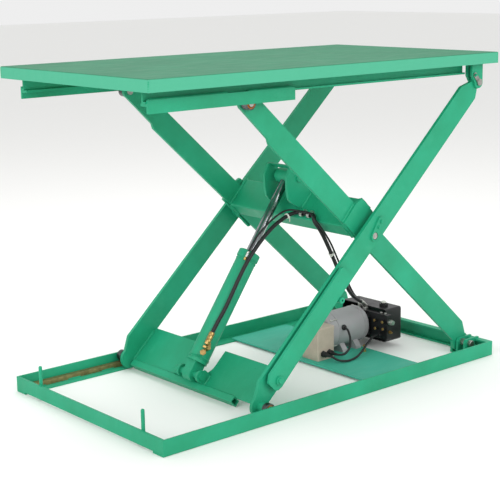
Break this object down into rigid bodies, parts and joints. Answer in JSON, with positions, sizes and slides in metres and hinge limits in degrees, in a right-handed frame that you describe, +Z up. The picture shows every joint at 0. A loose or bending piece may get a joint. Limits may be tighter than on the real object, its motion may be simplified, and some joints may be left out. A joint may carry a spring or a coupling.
{
  "type": "scissor lift table",
  "caption": "Hydraulic single scissor lift table, raised: welded base, crossed arm pairs, slanted cylinder, power unit, rollers and a flat steel deck",
  "frame": {"origin": "on the floor under the middle of the deck", "axes": "+Z up, X along the length from the roller end to the fixed pivots, -Y the near side with the safety bar"},
  "size_m": [1.5, 0.826, 1.092],
  "materials": {
    "green_paint": "hammered green machine enamel",
    "deck_paint": "dull grey-green worn deck enamel",
    "bright_steel": "turned and ground steel",
    "track_steel": "greasy flat bar",
    "chrome": "hard chromed rod",
    "motor_grey": "grey motor enamel",
    "beige_plastic": "moulded beige box",
    "black_plastic": "moulded black",
    "black_steel": "black enamel",
    "brass": "turned brass",
    "hose_rubber": "hydraulic hose cover",
    "zinc_steel": "zinc plated"
  },
  "bodies": {
    "base": {"side_rail_near": "green_paint", "side_rail_far": "green_paint", "end_rail_left": "green_paint", "end_rail_right": "green_paint", "roller_tracks": "track_steel", "base_brackets": "green_paint", "lower_hinge_pins": "bright_steel", "rest_posts": "green_paint", "power_unit_plate": "green_paint", "motor_body": "motor_grey", "motor_fan_cover": "motor_grey", "motor_shaft": "bright_steel", "terminal_box": "beige_plastic", "terminal_box_lid": "beige_plastic", "cable_glands": "black_plastic", "motor_cables": "hose_rubber", "pump_block": "black_steel", "port_plugs": "brass", "oil_tank": "black_steel", "filler_cap": "black_plastic", "gear_pump": "black_steel", "hose_fittings": "zinc_steel"},
    "inner_arms": {"inner_arm_near": "green_paint", "inner_arm_far": "green_paint", "hub_plates": "green_paint", "torque_channel": "green_paint", "rod_ears": "green_paint", "rod_pin_ends": "bright_steel", "upper_axles": "bright_steel", "hose_clips": "zinc_steel", "pressure_hose": "hose_rubber", "drain_hose": "hose_rubber"},
    "outer_arms": {"outer_arm_near": "green_paint", "outer_arm_far": "green_paint", "cross_plate": "green_paint", "cylinder_clevis": "green_paint", "cylinder_pin": "bright_steel", "centre_pins": "bright_steel", "centre_keepers": "green_paint", "lower_axles": "bright_steel", "bar_mounts": "green_paint"},
    "platform": {"deck_pan": "deck_paint", "platform_beam_near": "green_paint", "platform_beam_far": "green_paint", "upper_tracks": "green_paint", "deck_stiffeners": "green_paint", "platform_brackets": "green_paint", "upper_hinge_pins": "bright_steel"},
    "lower_roller_near": {"lower_roller_near": "bright_steel"},
    "lower_roller_far": {"lower_roller_far": "bright_steel"},
    "upper_roller_near": {"upper_roller_near": "black_steel"},
    "upper_roller_far": {"upper_roller_far": "black_steel"},
    "barrel": {"cylinder_barrel": "green_paint", "cylinder_gland": "black_steel", "barrel_elbow": "brass"},
    "rod": {"piston_rod": "chrome", "piston": "bright_steel", "rod_eye": "green_paint", "rod_pin": "bright_steel"},
    "safety_bar": {"safety_bar": "green_paint"}
  },
  "joints": [
    {"name": "fold", "type": "hinge", "parent": "base", "child": "inner_arms", "pos_m": [0.688, 0, 0.042], "axis": [0, -1, 0], "range_deg": [0, 41.2], "deforming": ["pressure_hose", "drain_hose"]},
    {"name": "arm_cross", "type": "hinge", "parent": "inner_arms", "child": "outer_arms", "pos_m": [0.182, 0, 0.51551], "axis": [0, 1, 0], "range_deg": [0, 82.4]},
    {"name": "platform_level", "type": "hinge", "parent": "outer_arms", "child": "platform", "pos_m": [0.688, 0, 0.98902], "axis": [0, -1, 0], "range_deg": [0, 41.2]},
    {"name": "barrel_tilt", "type": "hinge", "parent": "outer_arms", "child": "barrel", "pos_m": [-0.31922, 0, 0.06689], "axis": [0, 1, 0], "range_deg": [0, 3.21]},
    {"name": "rod_stroke", "type": "slide", "parent": "barrel", "child": "rod", "axis": [0.5795, 0, 0.815], "range_m": [-0.23373, 0]},
    {"name": "safety_bar_swing", "type": "hinge", "parent": "outer_arms", "child": "safety_bar", "pos_m": [-0.26275, 0, 0.1185], "axis": [0, -1, 0], "range_deg": [0, 8]},
    {"name": "lower_roller_near_spin", "type": "hinge", "parent": "outer_arms", "child": "lower_roller_near", "pos_m": [-0.324, 0, 0.042], "axis": [0, 1, 0], "continuous": true},
    {"name": "upper_roller_near_spin", "type": "hinge", "parent": "inner_arms", "child": "upper_roller_near", "pos_m": [-0.324, 0, 0.98902], "axis": [0, 1, 0], "continuous": true},
    {"name": "lower_roller_far_spin", "type": "hinge", "parent": "outer_arms", "child": "lower_roller_far", "pos_m": [-0.324, 0, 0.042], "axis": [0, 1, 0], "continuous": true},
    {"name": "upper_roller_far_spin", "type": "hinge", "parent": "inner_arms", "child": "upper_roller_far", "pos_m": [-0.324, 0, 0.98902], "axis": [0, 1, 0], "continuous": true}
  ],
  "couplings": [
    {"joint": "arm_cross", "follows": "fold", "ratio": 2},
    {"joint": "platform_level", "follows": "fold", "ratio": 1},
    {"joint": "barrel_tilt", "follows": "fold", "ratio": 0.077623},
    {"joint": "rod_stroke", "follows": "fold", "m_per_rad": -0.3249}
  ]
}
